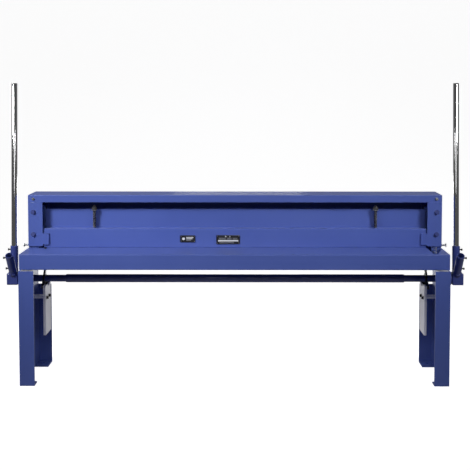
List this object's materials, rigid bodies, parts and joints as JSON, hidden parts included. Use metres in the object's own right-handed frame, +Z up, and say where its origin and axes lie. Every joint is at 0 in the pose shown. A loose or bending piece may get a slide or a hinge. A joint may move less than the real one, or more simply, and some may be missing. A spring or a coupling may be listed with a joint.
{
  "type": "sheet metal brake",
  "caption": "Floor-standing manual folding brake: bed on legs, lifting clamp beam, hinged bending leaf at the rear and a torsion shaft turned by upright bars.",
  "frame": {"origin": "on the floor, at the middle of the machine's outer box", "axes": "+X along the bed to the operator's right, +Y away from the operator to the bending leaf, +Z up"},
  "size_m": [2.997, 0.571, 1.8943],
  "materials": {
    "blue_paint": "satin blue powder coat with light orange peel",
    "dark_paint": "dark blue paint, satin",
    "grey_paint": "light grey powder coat",
    "chrome": "polished hard chrome",
    "black_steel": "black oxide steel",
    "zinc_steel": "bright zinc plate",
    "ground_steel": "ground steel",
    "label_plate": "black anodised plate"
  },
  "bodies": {
    "frame": {"leg_left": "blue_paint", "leg_right": "blue_paint", "bed_shelf": "blue_paint", "bed_beam": "blue_paint", "bed_blade": "ground_steel", "end_plate_left": "blue_paint", "end_plate_right": "blue_paint", "end_frame_left": "blue_paint", "end_frame_right": "blue_paint", "end_plate_bolt_lower_left": "blue_paint", "end_plate_bolt_upper_left": "blue_paint", "end_plate_bolt_lower_right": "blue_paint", "end_plate_bolt_upper_right": "blue_paint", "clamp_guide_left": "blue_paint", "clamp_guide_right": "blue_paint", "top_cover": "blue_paint", "rear_panel": "blue_paint", "cover_bolt_left": "zinc_steel", "cover_bolt_right": "zinc_steel", "bearing_housing_left": "dark_paint", "bearing_housing_right": "dark_paint", "hinge_block_left": "blue_paint", "hinge_block_right": "blue_paint", "hinge_pin_left": "ground_steel", "hinge_pin_right": "ground_steel", "side_cover_left": "grey_paint", "side_cover_right": "grey_paint", "shelf_spring": "zinc_steel"},
    "lever_shaft": {"torsion_tube": "dark_paint", "shaft_end_left": "dark_paint", "shaft_end_right": "dark_paint", "crank_left": "black_steel", "crank_right": "black_steel", "crank_pin_left": "ground_steel", "crank_pin_right": "ground_steel", "lever_hub_left": "dark_paint", "lever_hub_right": "dark_paint"},
    "lever_bar_left": {"lever_bar_left": "chrome"},
    "lever_bar_right": {"lever_bar_right": "chrome"},
    "drive_link_left": {"drive_link_left": "black_steel"},
    "drive_link_right": {"drive_link_right": "black_steel"},
    "bending_leaf": {"leaf_beam": "blue_paint", "leaf_blade": "ground_steel", "leaf_arm_left": "blue_paint", "leaf_arm_right": "blue_paint", "leaf_pin_left": "ground_steel", "leaf_pin_right": "ground_steel"},
    "clamp_beam": {"clamp_panel": "blue_paint", "clamp_box": "blue_paint", "clamp_nose": "ground_steel", "threaded_rod_left": "zinc_steel", "threaded_rod_right": "zinc_steel", "rod_nut_left": "zinc_steel", "rod_nut_right": "zinc_steel", "name_plate": "label_plate", "data_plate": "label_plate"},
    "side_screw_left": {"side_screw_left": "zinc_steel"},
    "side_screw_right": {"side_screw_right": "zinc_steel"}
  },
  "joints": [
    {"name": "lever_swing", "type": "hinge", "parent": "frame", "child": "lever_shaft", "pos_m": [0, 0.0645, 0.608], "axis": [1, 0, 0], "range_deg": [0, 90]},
    {"name": "leaf_swing", "type": "hinge", "parent": "frame", "child": "bending_leaf", "pos_m": [0, 0.2255, 0.8206], "axis": [1, 0, 0], "range_deg": [0, 90]},
    {"name": "link_swing_left", "type": "hinge", "parent": "lever_shaft", "child": "drive_link_left", "pos_m": [-1.265, 0.06764, 0.54805], "axis": [1, 0, 0], "range_deg": [-90, 0]},
    {"name": "bar_slide_left", "type": "slide", "parent": "lever_shaft", "child": "lever_bar_left", "axis": [0, 0.0523, 0.9986], "range_m": [0, 0.12]},
    {"name": "side_screw_travel_left", "type": "slide", "parent": "frame", "child": "side_screw_left", "axis": [-1, 0, 0], "range_m": [0, 0.02]},
    {"name": "link_swing_right", "type": "hinge", "parent": "lever_shaft", "child": "drive_link_right", "pos_m": [1.265, 0.06764, 0.54805], "axis": [1, 0, 0], "range_deg": [-90, 0]},
    {"name": "bar_slide_right", "type": "slide", "parent": "lever_shaft", "child": "lever_bar_right", "axis": [0, 0.0523, 0.9986], "range_m": [0, 0.12]},
    {"name": "side_screw_travel_right", "type": "slide", "parent": "frame", "child": "side_screw_right", "axis": [1, 0, 0], "range_m": [0, 0.02]},
    {"name": "clamp_lift", "type": "slide", "parent": "frame", "child": "clamp_beam", "axis": [0, 0, 1], "range_m": [0, 0.035]}
  ],
  "couplings": [
    {"joint": "leaf_swing", "follows": "lever_swing", "ratio": 1},
    {"joint": "link_swing_left", "follows": "lever_swing", "ratio": -1},
    {"joint": "link_swing_right", "follows": "lever_swing", "ratio": -1}
  ]
}
